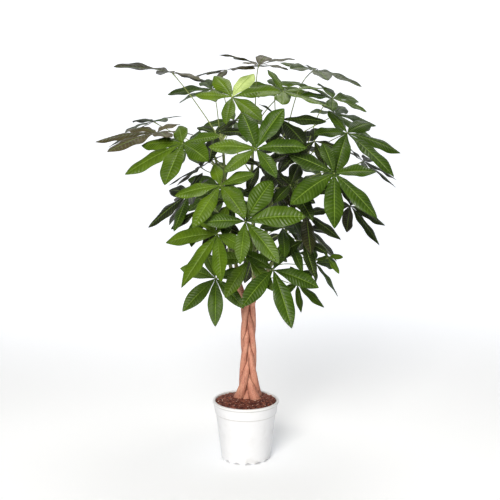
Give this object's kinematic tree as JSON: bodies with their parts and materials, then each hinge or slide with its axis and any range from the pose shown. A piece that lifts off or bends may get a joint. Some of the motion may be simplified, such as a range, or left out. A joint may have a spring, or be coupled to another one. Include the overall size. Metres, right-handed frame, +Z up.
{
  "type": "potted money tree",
  "caption": "Money tree with a plaited trunk and a round crown of hand-shaped leaves, standing in a plain white nursery pot filled with potting soil.",
  "frame": {"origin": "middle of the pot's flat underside, on the floor", "axes": "+Z up along the pot's axis; -Y is the front, the side that the fullest face of the crown looks to; +X is to the right of someone who faces the front"},
  "size_m": [0.9304, 0.8209, 1.2659],
  "materials": {
    "pot": "satin",
    "soil": "matte",
    "bark": "matte",
    "leaf": "satin"
  },
  "bodies": {
    "root": {"pot": "pot", "soil": "soil", "stem_back_left": "bark", "stem_left": "bark", "stem_back_right": "bark", "stem_right": "bark", "stem_centre": "bark", "leaf_01": "leaf", "leaf_02": "leaf", "leaf_03": "leaf", "leaf_04": "leaf", "leaf_05": "leaf", "leaf_06": "leaf", "leaf_07": "leaf", "leaf_08": "leaf", "leaf_09": "leaf", "leaf_10": "leaf", "leaf_11": "leaf", "leaf_12": "leaf", "leaf_13": "leaf", "leaf_14": "leaf", "leaf_15": "leaf", "leaf_16": "leaf", "leaf_17": "leaf", "leaf_18": "leaf", "leaf_19": "leaf", "leaf_20": "leaf", "leaf_21": "leaf", "leaf_22": "leaf", "leaf_23": "leaf", "leaf_24": "leaf", "leaf_25": "leaf", "leaf_26": "leaf", "leaf_27": "leaf", "leaf_28": "leaf", "leaf_29": "leaf", "leaf_30": "leaf", "leaf_31": "leaf", "leaf_32": "leaf", "leaf_33": "leaf", "leaf_34": "leaf", "leaf_35": "leaf", "leaf_36": "leaf", "leaf_37": "leaf", "leaf_38": "leaf", "leaf_39": "leaf", "leaf_40": "leaf", "leaf_41": "leaf", "leaf_42": "leaf", "leaf_43": "leaf", "leaf_44": "leaf", "leaf_45": "leaf", "leaf_46": "leaf", "leaf_47": "leaf", "leaf_48": "leaf", "leaf_49": "leaf", "leaf_50": "leaf", "leaf_51": "leaf", "leaf_52": "leaf", "leaf_53": "leaf"}
  },
  "joints": []
}
